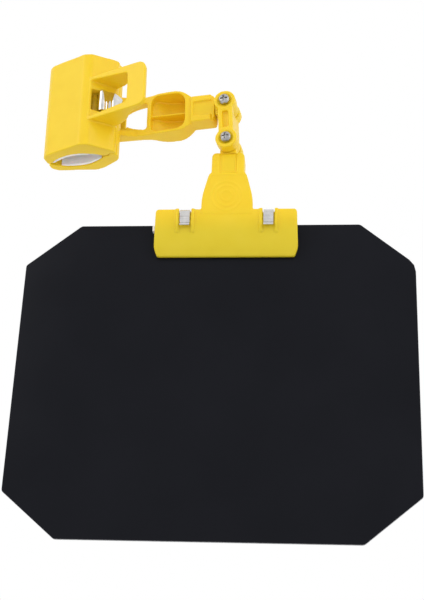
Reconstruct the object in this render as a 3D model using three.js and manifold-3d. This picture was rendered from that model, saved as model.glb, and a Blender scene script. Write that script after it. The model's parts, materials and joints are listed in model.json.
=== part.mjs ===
// Clip-on visor: an opaque eight-sided sheet hangs in a wide clip, which a two-jointed arm joins
// to a spring clamp for a pole or a rail.  Millimetres, +Z up, the viewer's side is -Y.
// The origin is the middle of the clamp's mouth.
import * as THREE from 'three';
import { mergeVertices } from 'three/addons/utils/BufferGeometryUtils.js';
import Module from 'manifold-3d';

const wasm = await Module();
wasm.setup();

const degrees = THREE.MathUtils.degToRad;

// ---------------------------------------------------------------- driving dimensions
const GAP = 0.3;                     // clearance between neighbouring pieces

// how the arm stands at rest
const JAW_TURN = degrees(11.7);      // the jaws turn about +Z, their hinge end towards the viewer
const ARM_SPLAY = degrees(3.7);      // the arm leaves the jaws' middle plane by this much
const ARM_RISE = degrees(1.4);       // the arm climbs this steeply from the clamp
const LINK_LEAN = degrees(4);        // the link's top leans towards the clamp

// spring clamp
const JAW_HEIGHT = 61;               // along the pole
const JAW_TIP_X = -17.8;
const JAW_HEEL_X = 24.5;
const HINGE_X = 22;                  // the rolling bead between the two jaws
const BEAD_RADIUS = 2.1;
const HEEL_RELIEF = 1.7;             // lets the front jaw's heel roll past the back jaw
const RIDGE_X = [7.6, 12.2];         // the flat top of each roof-shaped jaw
const FRONT_RIDGE = 16.3;            // the ridge's height over the middle plane
const BACK_RIDGE = 12.8;
const MOUTH_LEFT = -16.2;
const MOUTH_RIGHT = 17.3;
const MOUTH_DEPTH = 6.7;             // half the height of the almond-shaped mouth
const PAD_THICKNESS = 1.8;
const HANDLE_HALF = 14.4;            // half the width of the finger loop
const HANDLE_END_X = 48.8;
const HANDLE_RISE = degrees(11);
const HANDLE_THICKNESS = 3;
const HANDLE_CORNER = 6;

// clamp spring
const SPRING_WIDTH = 12.6;
const SPRING_GAUGE = 0.9;
const HOOK_X = 12;                   // the spring's hooked ends, along the jaws
const HOOK_Y = 8;                    // the back jaw's hook, from the middle plane
const HOOK_LIP = 1;                  // how far each pocket's edge overhangs the hook

// arm, from the jaws to the socket
const ARM_OFFSET = 11.2;             // the arm's axis lies this far behind the mouth
const ARM_LENGTH = 86.2;             // from the mouth to the upper screw
const ARM_HALF = 13.2;               // half the height of the arm's frame
const ARM_DEPTH = 5.6;
const WINDOW_START = 24.3;
const WINDOW_HALF = 9.3;
const WINDOW_END = 38.3;
const CUP_END = 64.4;
const CUP_FRONT = -5.1;              // from the arm's axis
const CUP_BACK = 7.6;
const CUP_WALL = 1.5;

// sockets and swivels, the same at both ends of the link
const BARREL_RADIUS = 2.7;
const BARREL_LENGTH = 11.4;
const RIB_RADIUS = 2.5;              // a socket's snap rib, from the barrel's axis
const RIB_NEAR = 4.9;                // and where it lies, from the socket's mouth
const RIB_FAR = 5.7;
const SOCKET_LENGTH = 12.6;
const ARM_SOCKET_HALF = 8.5;
const CLIP_SOCKET_HALF = 9.2;
const SOCKET_FRONT = -4.9;           // from the barrel's axis
const SOCKET_BACK = 6.5;
const SOCKET_REACH = 7.1;            // from the screw's axis to the socket's mouth
const RECESS_HALF = 4.7;             // half the width of the shallow recess over the barrel
const RECESS_DEPTH = 1.2;
const RELIEF_LENGTH = 2;             // the arm's socket is cut back this far in front of the link
const TONGUE_THICKNESS = 6.4;
const TONGUE_HALF = 4.7;
const EYE_RADIUS = 5.8;

// link
const LINK_LENGTH = 25;
const LINK_DEPTH = 20;
const BOSS_RADIUS = 6.2;
const WAIST_HALF = 4.2;
const SCREW_RADIUS = 1.6;
const HEAD_RADIUS = 3.2;
const HEAD_HEIGHT = 2.8;
const COUNTERBORE_RADIUS = 4.1;
const COUNTERBORE_DEPTH = 0.8;
const NUT_RADIUS = 3.5;              // across its corners, halved
const NUT_HEIGHT = 2.6;

// wide clip
const CLIP_SHIFT = 4.54;             // the clip grips the sheet right of the sheet's middle
const PANEL_BEHIND = 6.75;           // the sheet hangs behind the lower barrel's axis
const PANEL_DROP = 47.3;             // from the lower screw down to the sheet's top edge
const GRIP_DEPTH = 20.4;             // the clip reaches this far over the sheet
const PLATE_TOP = 6.2;               // the plates' upper edge over the sheet's top edge
const PLATE_TOP_HALF = 39.2;
const PLATE_TIP_HALF = 39.85;
const PLATE_SHIFT = -0.45;           // the plates' middle, from the clip's
const PLATE_WALL = 2;
const PLATE_TIP_Y = 1.05;            // inner face of a plate at its tip, from the sheet's middle
const PLATE_TOP_Y = 6.3;
const FULCRUM_Z = 3;                 // the clip's rolling bead over the sheet's top edge
const CLIP_BEAD_RADIUS = 1.7;
const FULCRUM_AT = 10;               // the two bars each side of the clip's middle
const FULCRUM_HALF = 8;
const CLIP_SPRING_AT = 23.15;
const CLIP_SPRING_WIDTH = 5.5;
const CLIP_SPRING_GAUGE = 0.7;
const NOTCH_DEPTH = 2.4;              // where a spring passes over a plate's top edge
const BACK_LEVER_LENGTH = 16.5;
const LEVER_WALL = 3;

// sheet
const PANEL_WIDTH = 215;
const PANEL_HEIGHT = 177;
const PANEL_THICKNESS = 1.5;
const CHAMFER_X = 29.6;
const CHAMFER_Z = 24.4;
const SOFT_CORNER = 4.5;             // one of the sheet's eight corners is rounded off

// ---------------------------------------------------------------- materials
const finish = (color, roughness, metalness = 0) =>
  new THREE.MeshStandardMaterial({ color, roughness, metalness });
const YELLOW = finish(0xf2c813, 0.42);
const BLACK = finish(0x17181c, 0.22);
const STEEL = finish(0xb9bcc0, 0.25, 1);
const RUBBER = finish(0xdfe0e2, 0.6);

// ---------------------------------------------------------------- shapes and solids
// An outline through corners [x, y, cut]: a cut rounds its corner off, starting that far from it.
function outline(corners) {
  const shape = new THREE.Shape();
  corners.forEach(([x, y, cut = 0], i) => {
    const corner = new THREE.Vector2(x, y);
    const before = new THREE.Vector2(...corners.at(i - 1)).sub(corner).setLength(cut);
    const after = new THREE.Vector2(...corners[(i + 1) % corners.length]).sub(corner).setLength(cut);
    const start = corner.clone().add(before);
    const end = corner.clone().add(after);
    if (i === 0) shape.moveTo(start.x, start.y);
    else shape.lineTo(start.x, start.y);
    if (cut > 0) shape.quadraticCurveTo(x, y, end.x, end.y);
  });
  shape.closePath();
  return shape;
}

// An almond between two points of the x axis, bulging to the given half height.
function almond(left, right, front, back = front) {
  const shape = new THREE.Shape();
  const third = (right - left) * 0.28;
  const pull = 4 / 3;
  shape.moveTo(left, 0);
  shape.bezierCurveTo(left + third, -front * pull, right - third, -front * pull, right, 0);
  shape.bezierCurveTo(right - third, back * pull, left + third, back * pull, left, 0);
  return shape;
}

// A closed band of the given thickness along a curve through points of a plane.
function band(points, thickness, steps) {
  const curve = new THREE.SplineCurve(points.map(([x, y]) => new THREE.Vector2(x, y)));
  const side = (sign) => Array.from({ length: steps + 1 }, (_, i) => {
    const tangent = curve.getTangent(i / steps);
    const normal = new THREE.Vector2(-tangent.y, tangent.x).multiplyScalar(sign * thickness / 2);
    return curve.getPoint(i / steps).add(normal);
  });
  return new THREE.Shape([...side(1), ...side(-1).reverse()]);
}

function solid(geometry) {
  geometry.deleteAttribute('normal');
  geometry.deleteAttribute('uv');
  const merged = mergeVertices(geometry, 1e-4);
  const vertProperties = Float32Array.from(merged.attributes.position.array);
  const triVerts = Uint32Array.from(merged.index.array);
  return new wasm.Manifold(new wasm.Mesh({ numProp: 3, vertProperties, triVerts }));
}

const turned = (geometry, xTo, yTo, zTo) =>
  geometry.applyMatrix4(new THREE.Matrix4().makeBasis(xTo, yTo, zTo));
const X = new THREE.Vector3(1, 0, 0);
const Y = new THREE.Vector3(0, 1, 0);
const Z = new THREE.Vector3(0, 0, 1);
const MINUS_Y = new THREE.Vector3(0, -1, 0);

function extruded(shape, length, curveSegments) {
  return new THREE.ExtrudeGeometry(shape, { depth: length, bevelEnabled: false, curveSegments });
}

// An outline in x and y, extruded upwards; in y and z, to the right; in x and z, away.
const prismZ = (shape, from, to, segments = 6) =>
  solid(extruded(shape, to - from, segments).translate(0, 0, from));
const prismX = (shape, from, to, segments = 6) =>
  solid(turned(extruded(shape, to - from, segments), Y, Z, X).translate(from, 0, 0));
const prismY = (shape, from, to, segments = 6) =>
  solid(turned(extruded(shape, to - from, segments), X, Z, MINUS_Y).translate(0, to, 0));

function block(x0, x1, y0, y1, z0, z1) {
  const geometry = new THREE.BoxGeometry(x1 - x0, y1 - y0, z1 - z0);
  return solid(geometry.translate((x0 + x1) / 2, (y0 + y1) / 2, (z0 + z1) / 2));
}

// Round rods along one axis, from and to along it, at (u, v) across it.
function rodX(radius, from, to, y = 0, z = 0, segments = 24) {
  const geometry = new THREE.CylinderGeometry(radius, radius, to - from, segments);
  return solid(geometry.rotateZ(-Math.PI / 2).translate((from + to) / 2, y, z));
}
function rodY(radius, from, to, x = 0, z = 0, segments = 24) {
  const geometry = new THREE.CylinderGeometry(radius, radius, to - from, segments);
  return solid(geometry.translate(x, (from + to) / 2, z));
}
function rodZ(radius, from, to, x = 0, y = 0, segments = 24) {
  const geometry = new THREE.CylinderGeometry(radius, radius, to - from, segments);
  return solid(geometry.rotateX(Math.PI / 2).translate(x, y, (from + to) / 2));
}

const joined = (parts) => wasm.Manifold.union(parts);
const less = (body, cuts) => body.subtract(joined(cuts));

function moved(body, matrix) {
  return body.transform(matrix.elements);
}

function mesh(name, body, material) {
  const { vertProperties, triVerts } = body.getMesh();
  const geometry = new THREE.BufferGeometry();
  geometry.setAttribute('position', new THREE.BufferAttribute(vertProperties, 3));
  geometry.setIndex(new THREE.BufferAttribute(triVerts, 1));
  geometry.computeVertexNormals();
  const result = new THREE.Mesh(geometry, material);
  result.name = name;
  return result;
}

// ---------------------------------------------------------------- the rest pose, as frames
const armTurn = JAW_TURN - ARM_SPLAY;
const across = new THREE.Vector3(Math.cos(armTurn), -Math.sin(armTurn), 0);
const armDirection = across.clone().multiplyScalar(Math.cos(ARM_RISE))
  .addScaledVector(Z, Math.sin(ARM_RISE));
const hingeDirection = new THREE.Vector3(Math.sin(armTurn), Math.cos(armTurn), 0);
const upperScrew = armDirection.clone().multiplyScalar(ARM_LENGTH)
  .addScaledVector(hingeDirection, ARM_OFFSET);
const linkUp = Z.clone().multiplyScalar(Math.cos(LINK_LEAN))
  .addScaledVector(across, -Math.sin(LINK_LEAN));
const lowerScrew = upperScrew.clone().addScaledVector(linkUp, -LINK_LENGTH);
const sheetTop = lowerScrew.clone().add(new THREE.Vector3(0, PANEL_BEHIND, -PANEL_DROP));

// A group whose x runs along `along`, whose y is the screws' direction, at a point.
function frame(origin, along, away) {
  const group = new THREE.Group();
  group.position.copy(origin);
  const up = new THREE.Vector3().crossVectors(along, away);
  group.quaternion.setFromRotationMatrix(new THREE.Matrix4().makeBasis(along, away, up));
  return group;
}

const visor = new THREE.Group();
const arm = frame(new THREE.Vector3(), armDirection, hingeDirection);
const clamp = new THREE.Group();
clamp.rotation.z = -ARM_SPLAY;
arm.add(clamp);
const upperJoint = frame(upperScrew, armDirection, hingeDirection);
const link = frame(upperScrew, new THREE.Vector3().crossVectors(hingeDirection, linkUp), hingeDirection);
const lowerJoint = frame(lowerScrew, across, hingeDirection);
const clip = new THREE.Group();
clip.position.copy(sheetTop);
visor.add(arm, upperJoint, link, lowerJoint, clip);

// ---------------------------------------------------------------- spring clamp
const jawHalf = JAW_HEIGHT / 2;

// One jaw's section: side -1 is the front jaw, side 1 the back jaw.
function jawSection(side, ridge, tip, heelRelief) {
  return outline([
    [JAW_TIP_X + 0.8, side * GAP / 2],
    [JAW_TIP_X, side * 1.2, 0.4],
    [JAW_TIP_X, side * (tip - 3), 1.5],
    [JAW_TIP_X + 3.2, side * tip, 1.5],
    [RIDGE_X[0], side * ridge, 1.2],
    [RIDGE_X[1], side * (ridge - 0.7), 1.6],
    [JAW_HEEL_X - 1.8, side * 6.2, 1.2],
    [JAW_HEEL_X, side * 4, 0.8],
    [JAW_HEEL_X, side * (GAP / 2 + heelRelief)],
    [HINGE_X + BEAD_RADIUS, side * (GAP / 2 + heelRelief * 0.4)],
  ]);
}

const mouth = () => prismZ(almond(MOUTH_LEFT, MOUTH_RIGHT, MOUTH_DEPTH), -jawHalf - 1, jawHalf + 1, 12);

// The spring's hook sits further out in the taller jaw.
function hookY(ridge) {
  return HOOK_Y + (ridge - BACK_RIDGE) / 2;
}

// The undercut pocket in a jaw's short slope that the flat spring hooks into.
function springPocket(side, ridge) {
  const half = SPRING_WIDTH / 2 + 0.6;
  const hook = outline([
    [HOOK_X + HOOK_LIP, side * (ridge + 1)],
    [HOOK_X + HOOK_LIP, side * (ridge - 2)],
    [HOOK_X - SPRING_GAUGE, side * (hookY(ridge) + SPRING_GAUGE)],
    [HOOK_X - SPRING_GAUGE, side * (hookY(ridge) - SPRING_GAUGE)],
    [HOOK_X + 4, side * (hookY(ridge) - SPRING_GAUGE)],
    [HOOK_X + 5.2, side * (ridge - 6.4)],
    [JAW_HEEL_X + 1, side * 1.4],
    [JAW_HEEL_X + 1, side * (ridge + 1)],
  ]);
  return prismZ(hook, -half, half);
}

function frontJaw() {
  const section = jawSection(-1, FRONT_RIDGE, 10.2, HEEL_RELIEF);
  const rise = Math.tan(HANDLE_RISE);
  const faceY = (x) => -FRONT_RIDGE + 0.8 - (x - RIDGE_X[0]) * rise;
  const cheek = outline([
    [RIDGE_X[0] + 0.5, -FRONT_RIDGE + 1.5],
    [HANDLE_END_X, faceY(HANDLE_END_X), 0.8],
    [HANDLE_END_X + 0.4, faceY(HANDLE_END_X) + HANDLE_THICKNESS, 0.8],
    [39, faceY(39) + HANDLE_THICKNESS + 1.2, 3],
    [33, -8.5, 4],
    [JAW_HEEL_X - 0.4, -3.8],
    [RIDGE_X[1], -FRONT_RIDGE + 4],
  ]);
  const window = outline([
    [RIDGE_X[0] + 5, 12.2, 1],
    [RIDGE_X[0] + 5, -12.2, 1],
    [37.2, -9.6, 2],
    [37.2, 9.6, 2],
  ]);
  const plan = outline([
    [RIDGE_X[0], HANDLE_HALF],
    [RIDGE_X[0], -HANDLE_HALF],
    [HANDLE_END_X, -HANDLE_HALF, HANDLE_CORNER],
    [HANDLE_END_X, HANDLE_HALF, HANDLE_CORNER],
  ]);
  // the loop: its side view cut to the plan's rounded end, then opened by the finger window
  const loop = prismZ(cheek, -HANDLE_HALF, HANDLE_HALF)
    .intersect(prismY(plan, -60, 0));
  const openLoop = less(loop, [prismY(window, -60, 0)]);
  const body = joined([prismZ(section, -jawHalf, jawHalf), openLoop]);
  return less(body, [
    mouth(),
    springPocket(-1, FRONT_RIDGE),
    rodZ(BEAD_RADIUS + GAP, -jawHalf - 1, jawHalf + 1, HINGE_X, 0, 20),
  ]);
}

// The arm's own frame: x along it from above the mouth, y away from the viewer, on its axis.
const armFrame = new THREE.Matrix4().makeRotationZ(ARM_SPLAY)
  .multiply(new THREE.Matrix4().makeTranslation(0, ARM_OFFSET, 0));

function armBody() {
  const halfDepth = ARM_DEPTH / 2;
  const plan = outline([
    [8, ARM_HALF - 1],
    [8, -ARM_HALF + 1],
    [WINDOW_END + 3, -ARM_HALF],
    [WINDOW_END + 11, -ARM_HALF - 0.4, 3],
    [CUP_END - 5, -ARM_HALF - 0.2, 4],
    [CUP_END + 1.5, -ARM_SOCKET_HALF],
    [CUP_END + 1.5, ARM_SOCKET_HALF],
    [CUP_END - 5, ARM_HALF + 0.2, 4],
    [WINDOW_END + 11, ARM_HALF + 0.4, 3],
    [WINDOW_END + 3, ARM_HALF],
  ]);
  const side = outline([
    [8, -halfDepth],
    [WINDOW_END + 1, -halfDepth, 2],
    [WINDOW_END + 7, CUP_FRONT + 0.6, 3],
    [CUP_END - 7, CUP_FRONT, 3],
    [CUP_END + 1.5, CUP_FRONT + 1.4, 2],
    [CUP_END + 1.5, CUP_BACK - 1.4, 2],
    [CUP_END - 5, CUP_BACK, 4],
    [WINDOW_END + 10, CUP_BACK - 0.6, 4],
    [WINDOW_END + 1, halfDepth, 4],
    [8, halfDepth],
  ]);
  const strip = prismZ(side, -ARM_HALF - 2, ARM_HALF + 2).intersect(prismY(plan, -12, 12));
  const window = outline([
    [WINDOW_START, 4.6, 0.6],
    [WINDOW_START, -4.6, 0.6],
    [WINDOW_START + 5, -WINDOW_HALF + 1.6, 4],
    [WINDOW_END, -WINDOW_HALF, 2.5],
    [WINDOW_END, WINDOW_HALF, 2.5],
    [WINDOW_START + 5, WINDOW_HALF - 1.6, 4],
  ]);
  const hollow = outline([
    [WINDOW_END + 2.4, -12, 5],
    [WINDOW_END + 2.4, 12, 5],
    [CUP_END - 2.8, 12, 7],
    [CUP_END - 2.8, -12, 7],
  ]);
  const hollowSide = outline([
    [WINDOW_END + 2.4, -12],
    [CUP_END - 2.8, -12],
    [CUP_END - 2.8, CUP_BACK - CUP_WALL, 3],
    [WINDOW_END + 11, CUP_BACK - 0.6 - CUP_WALL, 4],
    [WINDOW_END + 4.4, halfDepth - CUP_WALL, 3],
    [WINDOW_END + 2.4, halfDepth - CUP_WALL],
  ]);
  const cup = prismZ(hollowSide, -12, 12).intersect(prismY(hollow, -20, 20));
  const rib = block(WINDOW_END, CUP_END, -halfDepth + 1.6, CUP_BACK, -0.5, 0.5);
  return joined([less(strip, [prismY(window, -20, 20), cup]), rib.intersect(strip)]);
}

// A socket whose barrel runs along +x from its mouth at x = 0 back to -length.
function socketBlock(half) {
  const back = -SOCKET_LENGTH - 1.5;
  const side = outline([
    [back, SOCKET_FRONT],
    [0, SOCKET_FRONT],
    [0, SOCKET_BACK - 1],
    [-1.5, SOCKET_BACK],
    [back, SOCKET_BACK],
  ]);
  const face = outline([
    [back, -half],
    [0, -half, 3],
    [0, half, 3],
    [back, half],
  ]);
  const end = outline([
    [SOCKET_FRONT, -half, 0.5],
    [SOCKET_BACK, -half, 2],
    [SOCKET_BACK, half, 2],
    [SOCKET_FRONT, half, 0.5],
  ]);
  return prismZ(side, -half, half).intersect(prismY(face, -20, 20)).intersect(prismX(end, back, 0));
}

// What is cut out of a socket: the barrel's bore, less a snap rib, and a shallow recess in front.
function socketCuts() {
  const rib = block(-RIB_FAR, -RIB_NEAR, RIB_RADIUS, 20, -20, 20);
  return [
    less(rodX(BARREL_RADIUS + GAP, -SOCKET_LENGTH, 1, 0, 0, 28), [rib]),
    block(-SOCKET_LENGTH, 1, SOCKET_FRONT - 10, SOCKET_FRONT + RECESS_DEPTH, -RECESS_HALF, RECESS_HALF),
  ];
}

// The ring cut round a barrel, whose groove snaps over the socket's rib.
function snapGroove() {
  const inner = RIB_RADIUS - GAP;
  const outer = BARREL_RADIUS + 1.5;
  const profile = [
    [inner, -RIB_FAR - GAP], [outer, -RIB_FAR - 2 * GAP],
    [outer, -RIB_NEAR + 2 * GAP], [inner, -RIB_NEAR + GAP],
  ].map(([radius, x]) => new THREE.Vector2(radius, x));
  const ring = new THREE.LatheGeometry([...profile, profile[0]], 28);
  return solid(ring.rotateZ(-Math.PI / 2));
}

function clampArm() {
  const jaw = less(prismZ(jawSection(1, BACK_RIDGE, 8, 0), -jawHalf, jawHalf), [
    mouth(),
    springPocket(1, BACK_RIDGE),
  ]);
  const bead = rodZ(BEAD_RADIUS, -jawHalf, jawHalf, HINGE_X, 0, 20);
  const cheek = outline([
    [RIDGE_X[0] + 0.5, BACK_RIDGE - 1.5],
    [JAW_HEEL_X - 1.4, 6.8],
    [35, 12.4, 2],
    [33, 15],
    [RIDGE_X[1], 14],
  ]);
  const cheeks = [-13, 9.4].map((z) => prismZ(cheek, z, z + 3.6));
  const socketAt = new THREE.Matrix4().makeTranslation(ARM_LENGTH - SOCKET_REACH, 0, 0);
  const arm = joined([armBody(), moved(socketBlock(ARM_SOCKET_HALF), socketAt)]);
  const relief = block(-RELIEF_LENGTH, 1, SOCKET_FRONT - 10, SOCKET_FRONT + RECESS_DEPTH, -20, 20);
  const cutArm = less(arm, [...socketCuts(), relief].map((cut) => moved(cut, socketAt)));
  const keep = prismZ(almond(MOUTH_LEFT, MOUTH_RIGHT, MOUTH_DEPTH), -40, 40, 12);
  return joined([jaw, bead, ...cheeks,
    less(moved(cutArm, armFrame), [keep, springPocket(1, BACK_RIDGE)])]);
}

// A soft lining of one jaw: side -1 in front, side 1 behind.
function jawPad(side, left, hollowLeft) {
  const inset = 0.5;
  const outer = almond(MOUTH_LEFT + inset, MOUTH_RIGHT - inset, MOUTH_DEPTH - GAP);
  const inner = almond(hollowLeft, MOUTH_RIGHT, MOUTH_DEPTH - GAP - PAD_THICKNESS);
  const half = jawHalf - 0.4;
  const lens = less(prismZ(outer, -half, half, 12), [prismZ(inner, -40, 40, 12)]);
  const y = side < 0 ? [-20, -0.4] : [0.4, 20];
  return lens.intersect(block(left, MOUTH_RIGHT - 2.2, y[0], y[1], -40, 40));
}

function clampSpring() {
  const half = SPRING_WIDTH / 2;
  const leg = (side, ridge) => [
    [HOOK_X, hookY(ridge)], [HOOK_X + 1.8, hookY(ridge) - 0.1], [HOOK_X + 3.2, hookY(ridge) + 0.3],
    [HOOK_X + 4.6, ridge - 5.1], [HOOK_X + 7, ridge - 4.9], [HOOK_X + 9.2, ridge - 7.3],
    [HOOK_X + 11.2, ridge - 8.7], [HOOK_X + 12.8, (ridge - 8.7) * 0.62],
  ].map(([x, y]) => [x, side * y]);
  const front = leg(-1, FRONT_RIDGE);
  const back = leg(1, BACK_RIDGE).reverse();
  return prismZ(band([...front, [HOOK_X + 13.8, 0.3], ...back], SPRING_GAUGE, 52), -half, half, 1);
}

clamp.add(
  mesh('clamp_arm', clampArm(), YELLOW),
  mesh('front_jaw', frontJaw(), YELLOW),
  mesh('front_jaw_pad', jawPad(-1, MOUTH_LEFT + 1, MOUTH_LEFT + 2.2), RUBBER),
  mesh('back_jaw_pad', jawPad(1, -10.8, MOUTH_LEFT), RUBBER),
  mesh('clamp_spring', clampSpring(), STEEL),
);

// ---------------------------------------------------------------- swivels and link
// A swivel: its barrel lies in a socket along -x, and its tongue carries the screw at the origin.
function swivel() {
  const half = TONGUE_THICKNESS / 2;
  const mouthX = -SOCKET_REACH;
  const barrel = less(rodX(BARREL_RADIUS, mouthX - BARREL_LENGTH, mouthX + 0.8, 0, 0, 28), [
    moved(snapGroove(), new THREE.Matrix4().makeTranslation(mouthX, 0, 0)),
  ]);
  const tongue = outline([
    [mouthX + GAP, -TONGUE_HALF],
    [0, -TONGUE_HALF],
    [0, TONGUE_HALF],
    [mouthX + GAP, TONGUE_HALF],
  ]);
  const body = joined([barrel, prismY(tongue, -half, half), rodY(EYE_RADIUS, -half, half, 0, 0, 28)]);
  return less(body, [rodY(SCREW_RADIUS + GAP, -half - 1, half + 1)]);
}

// The link hangs from the upper screw at its origin to the lower one at z = -length.
function linkBody() {
  const half = LINK_DEPTH / 2;
  const slot = TONGUE_THICKNESS / 2 + GAP;
  const waist = outline([
    [-WAIST_HALF, 0],
    [-WAIST_HALF, -LINK_LENGTH],
    [WAIST_HALF, -LINK_LENGTH],
    [WAIST_HALF, 0],
  ]);
  const recess = outline([
    [-1.7, -LINK_LENGTH / 2 - 5.2, 0.5],
    [1.7, -LINK_LENGTH / 2 - 5.2, 0.5],
    [1.7, -LINK_LENGTH / 2 + 5.6, 0.5],
    [-1.7, -LINK_LENGTH / 2 + 5.6, 0.5],
  ]);
  const web = EYE_RADIUS + 0.7;
  const body = joined([
    prismY(waist, -half + 0.4, half - 0.4),
    ...[0, -LINK_LENGTH].map((z) => rodY(BOSS_RADIUS, -half, half, 0, z, 32)),
  ]);
  return less(body, [
    prismY(recess, -half - 1, -half + 2.4),
    prismY(recess, half - 2.4, half + 1),
    block(-20, 20, -slot, slot, -web, 20),
    block(-20, 20, -slot, slot, -LINK_LENGTH - 20, -LINK_LENGTH + web),
    ...[0, -LINK_LENGTH].flatMap((z) => [
      rodY(SCREW_RADIUS + GAP, -half - 1, half + 1, 0, z),
      rodY(COUNTERBORE_RADIUS, -half - 1, -half + COUNTERBORE_DEPTH, 0, z),
      rodY(NUT_RADIUS + GAP, half - NUT_HEIGHT + 0.6, half + 1, 0, z, 6),
    ]),
  ]);
}

// A pan-head screw with a cross slot, along +y from its head.
function screw() {
  const headBack = -LINK_DEPTH / 2 + COUNTERBORE_DEPTH - GAP;
  const profile = [[0, 0], [HEAD_RADIUS, 0], [HEAD_RADIUS, 1.2], [HEAD_RADIUS * 0.88, 2.1],
    [HEAD_RADIUS * 0.55, 2.65], [0, HEAD_HEIGHT]].map(([r, y]) => new THREE.Vector2(r, y));
  const head = solid(new THREE.LatheGeometry(profile, 24).rotateX(Math.PI).translate(0, headBack, 0));
  const shank = rodY(SCREW_RADIUS, headBack - 0.5, LINK_DEPTH / 2 + 0.6, 0, 0, 20);
  const arm = 2.1;
  const wide = 0.45;
  return less(joined([head, shank]), [
    block(-arm, arm, headBack - 5, headBack - HEAD_HEIGHT + 1.5, -wide, wide),
    block(-wide, wide, headBack - 5, headBack - HEAD_HEIGHT + 1.5, -arm, arm),
  ]);
}

function nut() {
  const back = LINK_DEPTH / 2 + 0.4;
  const front = LINK_DEPTH / 2 - NUT_HEIGHT + 0.6 + GAP;
  return less(rodY(NUT_RADIUS, front, back, 0, 0, 6), [
    rodY(SCREW_RADIUS + GAP, front - 1, back + 1, 0, 0, 20),
  ]);
}

upperJoint.add(mesh('upper_swivel', swivel(), YELLOW));
link.add(mesh('link_body', linkBody(), YELLOW));
for (const [name, z] of [['upper', 0], ['lower', -LINK_LENGTH]]) {
  const shift = new THREE.Matrix4().makeTranslation(0, 0, z);
  link.add(mesh(`screw_${name}`, moved(screw(), shift), STEEL));
  link.add(mesh(`nut_${name}`, moved(nut(), shift), STEEL));
}
// the lower swivel is the same moulding, its barrel pointing down
const downwards = new THREE.Matrix4().makeRotationY(-Math.PI / 2);
lowerJoint.add(mesh('lower_swivel', moved(swivel(), downwards), YELLOW));

// ---------------------------------------------------------------- wide clip and sheet
// The clip's own frame has its origin on the sheet's top edge, in the clip's middle.
const plateShape = () => outline([
  [-PLATE_TIP_HALF + 1.8, -GRIP_DEPTH, 1.2],
  [PLATE_TIP_HALF - 1.8, -GRIP_DEPTH, 1.2],
  [PLATE_TIP_HALF, -GRIP_DEPTH + 4.8, 2],
  [PLATE_TOP_HALF, PLATE_TOP, 2.2],
  [-PLATE_TOP_HALF, PLATE_TOP, 2.2],
  [-PLATE_TIP_HALF, -GRIP_DEPTH + 4.8, 2],
].map(([x, z, cut]) => [x + PLATE_SHIFT, z, cut]));

// A plate's section in y and z, on the side of the sheet that `side` names.
function plateSection(side) {
  return outline([
    [side * PLATE_TIP_Y, -GRIP_DEPTH, 0.3],
    [side * (PLATE_TIP_Y + PLATE_WALL), -GRIP_DEPTH, 0.8],
    [side * (PLATE_TIP_Y + PLATE_WALL + 1.6), -GRIP_DEPTH + 5, 2],
    [side * (PLATE_TOP_Y + PLATE_WALL), PLATE_TOP - 6, 4],
    [side * (PLATE_TOP_Y + PLATE_WALL + 0.4), PLATE_TOP, 0.6],
    [side * PLATE_TOP_Y, PLATE_TOP],
    [side * (PLATE_TOP_Y - 0.4), PLATE_TOP - 6, 3],
  ]);
}

const leverShape = (top) => outline([
  [-14.4, PLATE_TOP - 3],
  [14.4, PLATE_TOP - 3],
  [14.2, PLATE_TOP + 7, 4],
  [10.2, top, 3],
  [-10.2, top, 3],
  [-14.2, PLATE_TOP + 7, 4],
]);

// The lever's section: it leaves the plate's top edge and leans away from the sheet's plane.
function leverSection(side, top, topY) {
  const base = PLATE_TOP_Y + PLATE_WALL + 0.3;
  return outline([
    [side * (base - LEVER_WALL), PLATE_TOP - 4],
    [side * base, PLATE_TOP - 4],
    [side * topY, top],
    [side * (topY - LEVER_WALL), top],
  ]);
}

function plate(side) {
  const body = prismX(plateSection(side), -50, 50).intersect(prismY(plateShape(), -20, 20));
  const ribs = [-1, 1].flatMap((way) => [-1, 1].map((edge) => {
    const x = way * CLIP_SPRING_AT + edge * (CLIP_SPRING_WIDTH / 2 + 1.45);
    const y = PLATE_TOP_Y + PLATE_WALL;
    return prismX(outline([
      [side * (y - 1), PLATE_TOP + 0.2],
      [side * (y + 1.3), PLATE_TOP + 0.2, 0.6],
      [side * (y + 0.7), PLATE_TOP - 9, 2],
      [side * (y - 1.2), PLATE_TOP - 13.6, 0.5],
      [side * (y - 2.4), PLATE_TOP - 13.6],
    ]), x - 1, x + 1);
  }));
  const notches = [-1, 1].map((way) => {
    const half = CLIP_SPRING_WIDTH / 2 + 0.6;
    const x = way * CLIP_SPRING_AT;
    return block(x - half, x + half, -20, 20, PLATE_TOP - NOTCH_DEPTH, PLATE_TOP + 1);
  });
  return less(joined([body, ...ribs]), notches);
}

// Two bars of each plate meet over the sheet's edge: the back one carries the bead.
function fulcrumBars(side) {
  const reach = PLATE_TOP_Y + 1.2;
  const section = outline([
    [side * GAP / 2, FULCRUM_Z - 1.8],
    [side * reach, FULCRUM_Z - 2.6],
    [side * reach, FULCRUM_Z + 2.6],
    [side * (GAP / 2 + CLIP_BEAD_RADIUS), FULCRUM_Z + CLIP_BEAD_RADIUS],
  ]);
  return [-FULCRUM_AT, FULCRUM_AT].map((x) => prismX(section, x - FULCRUM_HALF, x + FULCRUM_HALF));
}

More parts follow.
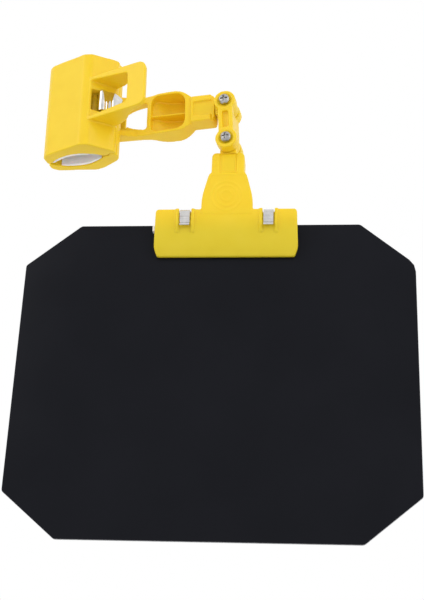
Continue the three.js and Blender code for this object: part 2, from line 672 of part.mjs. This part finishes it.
function frontPlate() {
  const socketMouth = PANEL_DROP - SOCKET_REACH;
  const socketAt = new THREE.Matrix4().makeTranslation(0, -PANEL_BEHIND, socketMouth)
    .multiply(new THREE.Matrix4().makeRotationY(-Math.PI / 2));
  const leverTop = socketMouth - SOCKET_LENGTH + 0.5;
  const lever = prismX(leverSection(-1, leverTop, PANEL_BEHIND - SOCKET_FRONT), -50, 50)
    .intersect(prismY(leverShape(leverTop), -30, 30));
  const body = joined([
    plate(-1), lever, moved(socketBlock(CLIP_SOCKET_HALF), socketAt), ...fulcrumBars(-1),
  ]);
  return less(body, [
    ...socketCuts().map((cut) => moved(cut, socketAt)),
    rodX(CLIP_BEAD_RADIUS + GAP, -50, 50, 0, FULCRUM_Z, 20),
  ]);
}

function backPlate() {
  const top = PLATE_TOP + BACK_LEVER_LENGTH;
  const lever = prismX(leverSection(1, top, PLATE_TOP_Y + 7), -50, 50)
    .intersect(prismY(leverShape(top), -30, 30));
  return joined([
    plate(1), lever, ...fulcrumBars(1),
    ...[-FULCRUM_AT, FULCRUM_AT].map((x) =>
      rodX(CLIP_BEAD_RADIUS, x - FULCRUM_HALF, x + FULCRUM_HALF, 0, FULCRUM_Z, 20)),
  ]);
}

function clipSpring(way) {
  const half = CLIP_SPRING_WIDTH / 2;
  const y = PLATE_TOP_Y + PLATE_WALL + 1.4;
  // from the flared lip over a hollow, a crest and a crease to the bend over the plate's edge
  const leg = [[0.2, -10.6], [-0.1, -9.6], [-1, -8.6], [-1.1, -7.6], [-0.3, -6.6], [-0.1, -5.9],
    [-0.5, -5.1], [-0.05, -4.3], [0, -2.9], [-0.6, -1.4], [-2.6, -0.3]]
    .map(([out, up]) => [y + out, PLATE_TOP + up]);
  const points = [...leg.map(([a, b]) => [-a, b]), [0, PLATE_TOP + 0.4], ...leg.reverse()];
  const at = way * CLIP_SPRING_AT;
  return prismX(band(points, CLIP_SPRING_GAUGE, 66), at - half, at + half, 1);
}

// A soft strip between a plate and the sheet, a little longer than the plate at one end.
function gripPad(side) {
  const near = PANEL_THICKNESS / 2 + GAP;
  return prismX(outline([
    [side * near, -5.2],
    [side * (near + 3.2), -5.2],
    [side * (near + 3.9), -2],
    [side * near, -2],
  ]), PLATE_SHIFT - PLATE_TIP_HALF - 1.3, PLATE_SHIFT + PLATE_TIP_HALF - 1);
}

function sheet() {
  const x = PANEL_WIDTH / 2;
  const z = PANEL_HEIGHT;
  return prismY(outline([
    [-x, -CHAMFER_Z, 1],
    [-x + CHAMFER_X, 0, 1],
    [x - CHAMFER_X, 0, 1],
    [x, -CHAMFER_Z, SOFT_CORNER],
    [x, -z + CHAMFER_Z, 1],
    [x - CHAMFER_X, -z, 1],
    [-x + CHAMFER_X, -z, 1],
    [-x, -z + CHAMFER_Z, 1],
  ]), -PANEL_THICKNESS / 2, PANEL_THICKNESS / 2, 2);
}

clip.add(
  mesh('clip_front_plate', frontPlate(), YELLOW),
  mesh('clip_back_plate', backPlate(), YELLOW),
  mesh('clip_spring_left', clipSpring(-1), STEEL),
  mesh('clip_spring_right', clipSpring(1), STEEL),
  mesh('clip_front_pad', gripPad(-1), RUBBER),
  mesh('clip_back_pad', gripPad(1), RUBBER),
  mesh('visor_panel', moved(sheet(), new THREE.Matrix4().makeTranslation(-CLIP_SHIFT, 0, 0)), BLACK),
);

export default visor;
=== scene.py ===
"""Looks of the clip-on visor: a black sheet on a jointed yellow plastic arm.  Metres, row frame."""

import json
import math

import bmesh
import bpy
import numpy as np
from mathutils import Matrix, Vector

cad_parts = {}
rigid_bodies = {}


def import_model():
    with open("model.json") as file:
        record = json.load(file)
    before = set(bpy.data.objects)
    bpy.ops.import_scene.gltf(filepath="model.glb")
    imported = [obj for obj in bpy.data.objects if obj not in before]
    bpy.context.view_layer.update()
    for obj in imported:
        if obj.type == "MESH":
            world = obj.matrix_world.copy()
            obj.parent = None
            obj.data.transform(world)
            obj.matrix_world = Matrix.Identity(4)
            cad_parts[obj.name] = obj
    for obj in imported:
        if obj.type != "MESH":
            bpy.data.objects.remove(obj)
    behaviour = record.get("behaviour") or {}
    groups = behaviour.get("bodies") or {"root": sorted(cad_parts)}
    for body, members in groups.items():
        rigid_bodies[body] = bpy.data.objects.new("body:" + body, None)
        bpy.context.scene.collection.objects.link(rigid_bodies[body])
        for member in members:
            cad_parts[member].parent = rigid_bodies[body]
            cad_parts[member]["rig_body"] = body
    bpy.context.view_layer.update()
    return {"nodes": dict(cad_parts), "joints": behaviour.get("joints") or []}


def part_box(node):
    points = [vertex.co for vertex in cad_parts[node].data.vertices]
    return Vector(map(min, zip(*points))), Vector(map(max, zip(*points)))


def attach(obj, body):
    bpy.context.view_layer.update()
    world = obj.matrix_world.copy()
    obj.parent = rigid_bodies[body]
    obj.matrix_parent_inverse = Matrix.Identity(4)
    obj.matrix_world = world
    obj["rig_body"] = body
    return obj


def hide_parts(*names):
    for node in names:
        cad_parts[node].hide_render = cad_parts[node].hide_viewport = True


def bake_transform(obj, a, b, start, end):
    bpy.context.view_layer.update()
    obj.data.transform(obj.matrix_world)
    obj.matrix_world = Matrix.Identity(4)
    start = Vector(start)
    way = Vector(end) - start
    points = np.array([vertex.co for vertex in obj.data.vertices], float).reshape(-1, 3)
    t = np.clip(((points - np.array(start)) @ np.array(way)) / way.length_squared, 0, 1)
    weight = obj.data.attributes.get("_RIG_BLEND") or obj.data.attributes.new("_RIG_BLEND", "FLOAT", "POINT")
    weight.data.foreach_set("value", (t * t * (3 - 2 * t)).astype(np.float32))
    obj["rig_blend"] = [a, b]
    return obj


MM = 0.001
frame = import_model()
JOINTS = {joint["name"]: joint for joint in frame["joints"]}
SHEET_LOW, SHEET_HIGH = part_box("visor_panel")
SHEET_CENTRE = (SHEET_LOW + SHEET_HIGH) / 2

# the wide clip's own frame: axis-aligned, its origin on the sheet's top edge in the clip's middle
PLATE_LOW, PLATE_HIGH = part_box("clip_front_plate")
CLIP = Vector(((PLATE_LOW.x + PLATE_HIGH.x) / 2, SHEET_CENTRE.y, SHEET_HIGH.z))

# ---------------------------------------------------------------- how fine the surfaces are
VOXEL = 0.36 * MM


# ---------------------------------------------------------------- mesh helpers
def new_object(name, mesh):
    obj = bpy.data.objects.new(name, mesh)
    bpy.context.scene.collection.objects.link(obj)
    return obj


def cad_copy(node, name):
    """A new object with the CAD node's surface, its corners joined and its flat faces whole."""
    mesh = frame["nodes"][node].data.copy()
    mesh.name = name
    mesh.materials.clear()
    bm = bmesh.new()
    bm.from_mesh(mesh)
    bmesh.ops.remove_doubles(bm, verts=bm.verts, dist=0.002 * MM)
    bmesh.ops.dissolve_limit(
        bm, angle_limit=math.radians(0.5), verts=bm.verts, edges=bm.edges
    )
    bm.to_mesh(mesh)
    bm.free()
    for attribute in [a for a in mesh.attributes if a.name in ("custom_normal", "sharp_edge")]:
        mesh.attributes.remove(attribute)
    return new_object(name, mesh)


def apply_modifiers(obj):
    """Replaces the object's mesh by what its modifiers make of it."""
    bpy.context.view_layer.update()
    depsgraph = bpy.context.evaluated_depsgraph_get()
    mesh = bpy.data.meshes.new_from_object(obj.evaluated_get(depsgraph))
    obj.modifiers.clear()
    obj.data = mesh
    mesh.name = obj.name
    return obj


def moulded(node, name, voxel=VOXEL, rounds=8):
    """A CAD node as a moulding: remeshed finely, its edges and corners softly rounded."""
    obj = cad_copy(node, name)
    remesh = obj.modifiers.new("remesh", "REMESH")
    remesh.mode = "VOXEL"
    remesh.voxel_size = voxel
    smooth = obj.modifiers.new("smooth", "SMOOTH")
    smooth.factor = 0.5
    smooth.iterations = rounds
    apply_modifiers(obj)
    shade_smooth(obj)
    return obj


def bevelled(node, name, width):
    """A CAD node with its sharp edges rounded off."""
    obj = cad_copy(node, name)
    bevel = obj.modifiers.new("bevel", "BEVEL")
    bevel.width = width
    bevel.segments = 3
    bevel.limit_method = "ANGLE"
    bevel.angle_limit = math.radians(32)
    bevel.use_clamp_overlap = True
    apply_modifiers(obj)
    shade_smooth(obj)
    obj.data.set_sharp_from_angle(angle=math.radians(40))
    return obj


def shade_smooth(obj):
    obj.data.polygons.foreach_set("use_smooth", [True] * len(obj.data.polygons))


def points_of(obj):
    flat = np.empty(len(obj.data.vertices) * 3)
    obj.data.vertices.foreach_get("co", flat)
    return flat.reshape(-1, 3)


def normals_of(obj):
    flat = np.empty(len(obj.data.vertices) * 3)
    obj.data.vertices.foreach_get("normal", flat)
    return flat.reshape(-1, 3)


def set_points(obj, points):
    obj.data.vertices.foreach_set("co", points.reshape(-1))
    obj.data.update()


# ---------------------------------------------------------------- materials
class Nodes:
    """A material's node tree, with one short call for each thing it is built from."""

    def __init__(self, name):
        self.material = bpy.data.materials.new(name)
        self.material.use_nodes = True
        self.tree = self.material.node_tree
        self.shader = self.tree.nodes["Principled BSDF"]
        coordinates = self.tree.nodes.new("ShaderNodeTexCoord")
        self.object_coordinates = coordinates.outputs["Object"]

    def link(self, source, target):
        self.tree.links.new(source, target)

    def stretched(self, scale):
        mapping = self.tree.nodes.new("ShaderNodeMapping")
        mapping.inputs["Scale"].default_value = scale
        self.link(self.object_coordinates, mapping.inputs["Vector"])
        return mapping.outputs["Vector"]

    def noise(self, size, detail=4.0, roughness=0.5, stretch=None):
        """Noise whose features are about `size` metres across."""
        texture = self.tree.nodes.new("ShaderNodeTexNoise")
        texture.inputs["Scale"].default_value = 1 / size
        texture.inputs["Detail"].default_value = detail
        texture.inputs["Roughness"].default_value = roughness
        source = self.stretched(stretch) if stretch else self.object_coordinates
        self.link(source, texture.inputs["Vector"])
        return texture.outputs["Fac"]

    def ramp(self, factor, stops):
        ramp = self.tree.nodes.new("ShaderNodeValToRGB")
        elements = ramp.color_ramp.elements
        while len(elements) < len(stops):
            elements.new(0.5)
        for element, (position, color) in zip(elements, stops):
            element.position = position
            element.color = (*color, 1)
        self.link(factor, ramp.inputs["Fac"])
        return ramp.outputs["Color"]

    def spread(self, factor, low, high):
        """The factor's middle range mapped to low..high."""
        node = self.tree.nodes.new("ShaderNodeMapRange")
        node.inputs["From Min"].default_value = 0.3
        node.inputs["From Max"].default_value = 0.7
        node.inputs["To Min"].default_value = low
        node.inputs["To Max"].default_value = high
        self.link(factor, node.inputs["Value"])
        return node.outputs["Result"]

    def bump(self, height, distance, strength=1.0, under=None):
        node = self.tree.nodes.new("ShaderNodeBump")
        node.inputs["Distance"].default_value = distance
        node.inputs["Strength"].default_value = strength
        self.link(height, node.inputs["Height"])
        if under is not None:
            self.link(under, node.inputs["Normal"])
        return node.outputs["Normal"]

    def height(self, low, high):
        """0 at the low height and under it, 1 at the high one and over it."""
        axes = self.tree.nodes.new("ShaderNodeSeparateXYZ")
        self.link(self.object_coordinates, axes.inputs["Vector"])
        node = self.tree.nodes.new("ShaderNodeMapRange")
        node.inputs["From Min"].default_value = low
        node.inputs["From Max"].default_value = high
        self.link(axes.outputs["Z"], node.inputs["Value"])
        return node.outputs["Result"]

    def multiplied(self, one, other):
        node = self.tree.nodes.new("ShaderNodeMix")
        node.data_type = "RGBA"
        node.blend_type = "MULTIPLY"
        node.inputs["Factor"].default_value = 1.0
        colors = [s for s in node.inputs if s.type == "RGBA"]
        self.link(one, colors[0])
        self.link(other, colors[1])
        return next(s for s in node.outputs if s.type == "RGBA")

    def set(self, **values):
        for key, value in values.items():
            name = key.replace("_", " ")
            socket = next(s for s in self.shader.inputs if s.name.lower() == name)
            if isinstance(value, bpy.types.NodeSocket):
                self.link(value, socket)
            else:
                socket.default_value = value
        return self.material


def yellow_plastic(name, painted_shade=None, lines=(1, 1, 0.25)):
    """Injection-moulded yellow plastic, satin; `painted_shade` lists painted shade: tints over the heights
    it deepens the colour over.
    """
    nodes = Nodes(name)
    cloud = nodes.noise(11 * MM, detail=3)
    grain = nodes.noise(0.35 * MM, detail=2)
    flow = nodes.noise(5 * MM, detail=2, stretch=lines)
    color = nodes.ramp(cloud, [
        (0.30, (0.900, 0.615, 0.012)),
        (0.50, (0.920, 0.635, 0.015)),
        (0.72, (0.935, 0.650, 0.020)),
    ])
    # painted shade: the colour is multiplied by deeper, greener tints over the given heights
    if painted_shade:
        low, high, shade_tints = painted_shade
        color = nodes.multiplied(color, nodes.ramp(nodes.height(low, high), shade_tints))
    normal = nodes.bump(flow, 0.04 * MM, 0.3)
    normal = nodes.bump(grain, 0.01 * MM, 0.4, under=normal)
    return nodes.set(
        base_color=color,
        roughness=nodes.spread(cloud, 0.34, 0.42),
        normal=normal,
        subsurface_weight=0.22,
        subsurface_radius=(1.0, 0.75, 0.12),
        subsurface_scale=2.5 * MM,
        specular_ior_level=0.36,
    )


def black_sheet(name):
    """Opaque black plastic sheet, glossy, with faint handling marks."""
    nodes = Nodes(name)
    haze = nodes.noise(45 * MM, detail=5)
    scuffs = nodes.noise(2.5 * MM, detail=6, roughness=0.7, stretch=(1, 1, 0.06))
    waves = nodes.noise(60 * MM, detail=1)
    color = nodes.ramp(haze, [(0.3, (0.0080, 0.0085, 0.0115)), (0.7, (0.0095, 0.0100, 0.0135))])
    normal = nodes.bump(waves, 0.5 * MM, 0.06)
    normal = nodes.bump(scuffs, 0.01 * MM, 0.12, under=normal)
    return nodes.set(
        base_color=color,
        roughness=nodes.spread(haze, 0.17, 0.25),
        normal=normal,
        specular_ior_level=0.06,
    )


def sheet_edge(name):
    """The sheet's cut edge, paler and rougher than its faces."""
    nodes = Nodes(name)
    saw = nodes.noise(1.2 * MM, detail=4)
    color = nodes.ramp(saw, [(0.35, (0.12, 0.12, 0.13)), (0.65, (0.30, 0.30, 0.32))])
    return nodes.set(base_color=color, roughness=0.4, normal=nodes.bump(saw, 0.03 * MM, 0.4))


def bright_steel(name, gloss, greys):
    """Plated steel, faintly stained and drawn along one direction."""
    nodes = Nodes(name)
    rolled = nodes.noise(0.6 * MM, detail=4, stretch=(1, 1, 0.02))
    stain = nodes.noise(3 * MM, detail=3)
    color = nodes.ramp(stain, [
        (at, (grey, grey * 0.985, grey * 0.965)) for at, grey in zip((0.3, 0.7), greys)
    ])
    return nodes.set(
        base_color=color,
        metallic=1.0,
        roughness=nodes.spread(stain, *gloss),
        normal=nodes.bump(rolled, 0.01 * MM, 0.35),
    )


def pale_rubber(name):
    """Soft off-white lining, matt."""
    nodes = Nodes(name)
    cloud = nodes.noise(4 * MM, detail=3)
    pores = nodes.noise(0.25 * MM, detail=3)
    color = nodes.ramp(cloud, [(0.3, (0.90, 0.85, 0.83)), (0.7, (0.95, 0.91, 0.885))])
    return nodes.set(
        base_color=color,
        roughness=nodes.spread(cloud, 0.5, 0.62),
        normal=nodes.bump(pores, 0.02 * MM, 0.4),
        subsurface_weight=0.25,
        subsurface_scale=1.5 * MM,
    )


YELLOW = yellow_plastic("yellow_plastic")
# the studio light is too even to shade the wide plate, so painted shade deepens its colour towards its tip
YELLOW_PAINTED_SHADE = yellow_plastic(
    "yellow_plastic_plate_painted_shade",
    painted_shade=(CLIP.z - 20 * MM, CLIP.z + 9 * MM, [
        (0.0, (0.77, 0.86, 1.0)),
        (0.45, (0.83, 0.92, 1.2)),
        (0.80, (0.97, 0.99, 1.1)),
        (1.0, (1.0, 1.0, 1.0)),
    ]),
    lines=(0.05, 1, 1.6),
)
BLACK = black_sheet("black_sheet")
EDGE = sheet_edge("sheet_edge")
SCREW_STEEL = bright_steel("screw_steel", gloss=(0.12, 0.22), greys=(0.36, 0.58))
SPRING_STEEL = bright_steel("spring_steel", gloss=(0.05, 0.10), greys=(0.62, 0.76))
RUBBER = pale_rubber("pale_rubber")


def place(obj, node, material):
    """The piece stands for its CAD node, whose mesh it hides, and takes a material."""
    obj.data.materials.clear()
    obj.data.materials.append(material)
    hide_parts(node)
    return obj


def ride_with(obj, node):
    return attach(obj, frame["nodes"][node]["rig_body"])


# ---------------------------------------------------------------- yellow mouldings
# the thumb pad's raised rings: their middle above the clip's origin, and their size, in mm
RINGS_AT = 13.7
RING_RADII = (3.1, 6.0, 8.5)
RING_WIDTH = 0.55
RING_HEIGHT = 0.2
# the pad lies in front of this, in the clip's own frame
PAD_FRONT = 7

# how much each moulding's edges are softened
ROUNDS = {
    "clamp_arm": 5,
    "front_jaw": 9,
    "upper_swivel": 5,
    "lower_swivel": 5,
    "link_body": 8,
    "clip_front_plate": 5,
    "clip_back_plate": 6,
}
for node in ROUNDS:
    piece = moulded(node, node + "_moulding", rounds=ROUNDS[node])
    if node == "clip_front_plate":
        points = points_of(piece)
        normals = normals_of(piece)
        local = points - np.array(CLIP + Vector((0, 0, RINGS_AT)) * MM)
        radius = np.hypot(local[:, 0], local[:, 2])
        front = np.clip((-normals[:, 1] - 0.8) / 0.1, 0, 1)
        lift = sum(np.exp(-(((radius - r * MM) / (RING_WIDTH * MM)) ** 2)) for r in RING_RADII)
        pad = points[:, 1] < CLIP.y - PAD_FRONT * MM
        points[:, 1] -= RING_HEIGHT * MM * front * lift * pad
        set_points(piece, points)
    # the front plate takes the material with painted shade deepening towards its tip
    material = YELLOW_PAINTED_SHADE if node == "clip_front_plate" else YELLOW
    place(piece, node, material)
    ride_with(piece, node)

# ---------------------------------------------------------------- linings and grip strips
for node in ("front_jaw_pad", "back_jaw_pad", "clip_front_pad", "clip_back_pad"):
    piece = moulded(node, node + "_lining", voxel=min(VOXEL, 0.4 * MM), rounds=4)
    place(piece, node, RUBBER)
    ride_with(piece, node)

# ---------------------------------------------------------------- steel
for node in ("screw_upper", "screw_lower"):
    piece = moulded(node, node + "_steel", voxel=0.14 * MM, rounds=3)
    place(piece, node, SCREW_STEEL)
    ride_with(piece, node)

for node in ("nut_upper", "nut_lower"):
    piece = bevelled(node, node + "_steel", 0.25 * MM)
    place(piece, node, SCREW_STEEL)
    ride_with(piece, node)

hinge = JOINTS["clamp_open"]
hinge_at = Vector(hinge["pos_m"])
jaw_up = Vector(hinge["axis"]).normalized()
jaw_away = jaw_up.cross(Vector((1, 0, 0))).normalized()

piece = bevelled("clamp_spring", "clamp_spring_steel", 0.15 * MM)
place(piece, "clamp_spring", SPRING_STEEL)
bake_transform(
    piece, "clamp", "jaw",
    start=hinge_at + jaw_away * 4 * MM, end=hinge_at - jaw_away * 4 * MM,
)
for side in ("left", "right"):
    piece = bevelled(f"clip_spring_{side}", f"clip_spring_{side}_steel", 0.12 * MM)
    place(piece, f"clip_spring_{side}", SPRING_STEEL)
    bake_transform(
        piece, "clip", "clip_back",
        start=CLIP - Vector((0, 4, 0)) * MM, end=CLIP + Vector((0, 4, 0)) * MM,
    )

# ---------------------------------------------------------------- sheet
piece = bevelled("visor_panel", "visor_panel_sheet", 0.3 * MM)
place(piece, "visor_panel", BLACK)
piece.data.materials.append(EDGE)
for polygon in piece.data.polygons:
    polygon.material_index = 0 if abs(polygon.normal.y) > 0.75 else 1
ride_with(piece, "visor_panel")

# ---------------------------------------------------------------- floor, light and camera
FLOOR_Z = -0.95
FLOOR_HALF = 4.0
ROOM = 0.9                # the room in front, against the backdrop's 1
LIGHT_SIZE = (0.6, 1.0)
mesh = bpy.data.meshes.new("floor")
mesh.from_pydata(
    [(x * FLOOR_HALF, y * FLOOR_HALF, FLOOR_Z) for x, y in ((-1, -1), (1, -1), (1, 1), (-1, 1))],
    [], [(0, 1, 2, 3)],
)
floor = new_object("floor", mesh)
floor_nodes = Nodes("pale_floor")
mottle = floor_nodes.noise(0.4, detail=2)
floor.data.materials.append(floor_nodes.set(
    base_color=floor_nodes.ramp(mottle, [(0.3, (0.80, 0.80, 0.80)), (0.7, (0.83, 0.83, 0.83))]),
    roughness=0.8,
))

# a white backdrop behind the object, a dimmer room in front of it
world = bpy.data.worlds.new("studio")
bpy.context.scene.world = world
world.use_nodes = True
tree = world.node_tree
direction = tree.nodes.new("ShaderNodeTexCoord").outputs["Generated"]
axes = tree.nodes.new("ShaderNodeSeparateXYZ")
tree.links.new(direction, axes.inputs["Vector"])
room = tree.nodes.new("ShaderNodeMapRange")
room.inputs["From Min"].default_value = -0.5
room.inputs["From Max"].default_value = 0.1
room.inputs["To Min"].default_value = ROOM
room.inputs["To Max"].default_value = 1.0
tree.links.new(axes.outputs["Y"], room.inputs["Value"])
background = tree.nodes["Background"]
background.inputs["Color"].default_value = (1, 1, 1, 1)
tree.links.new(room.outputs["Result"], background.inputs["Strength"])


def area_light(name, offset, power):
    light = bpy.data.lights.new(name, "AREA")
    light.shape = "RECTANGLE"
    light.size, light.size_y = LIGHT_SIZE
    light.energy = power
    obj = bpy.data.objects.new(name, light)
    bpy.context.scene.collection.objects.link(obj)
    obj.location = SHEET_CENTRE + Vector(offset)
    obj.rotation_euler = (-Vector(offset)).to_track_quat("-Z", "Y").to_euler()
    return obj


area_light("left", (-1.0, -0.85, 0.75), 3.2)
area_light("right", (1.0, -0.8, 0.6), 2.8)

camera_data = bpy.data.cameras.new("camera")
camera_data.lens = 70.17
camera_data.sensor_width = 36
camera = bpy.data.objects.new("camera", camera_data)
bpy.context.scene.collection.objects.link(camera)
forward = Vector((-0.0964, 0.9126, 0.3973)).normalized()
right = Vector((0.99534, 0.08856, 0.03803))
up = right.cross(forward).normalized()
camera_axes = Matrix((forward.cross(up), up, -forward)).transposed()
camera.matrix_world = (
    Matrix.Translation(SHEET_CENTRE + Vector((58.73, -580.0, -209.2)) * MM) @ camera_axes.to_4x4()
)
bpy.context.scene.camera = camera
bpy.context.scene.view_settings.view_transform = "Standard"

bpy.context.view_layer.update()
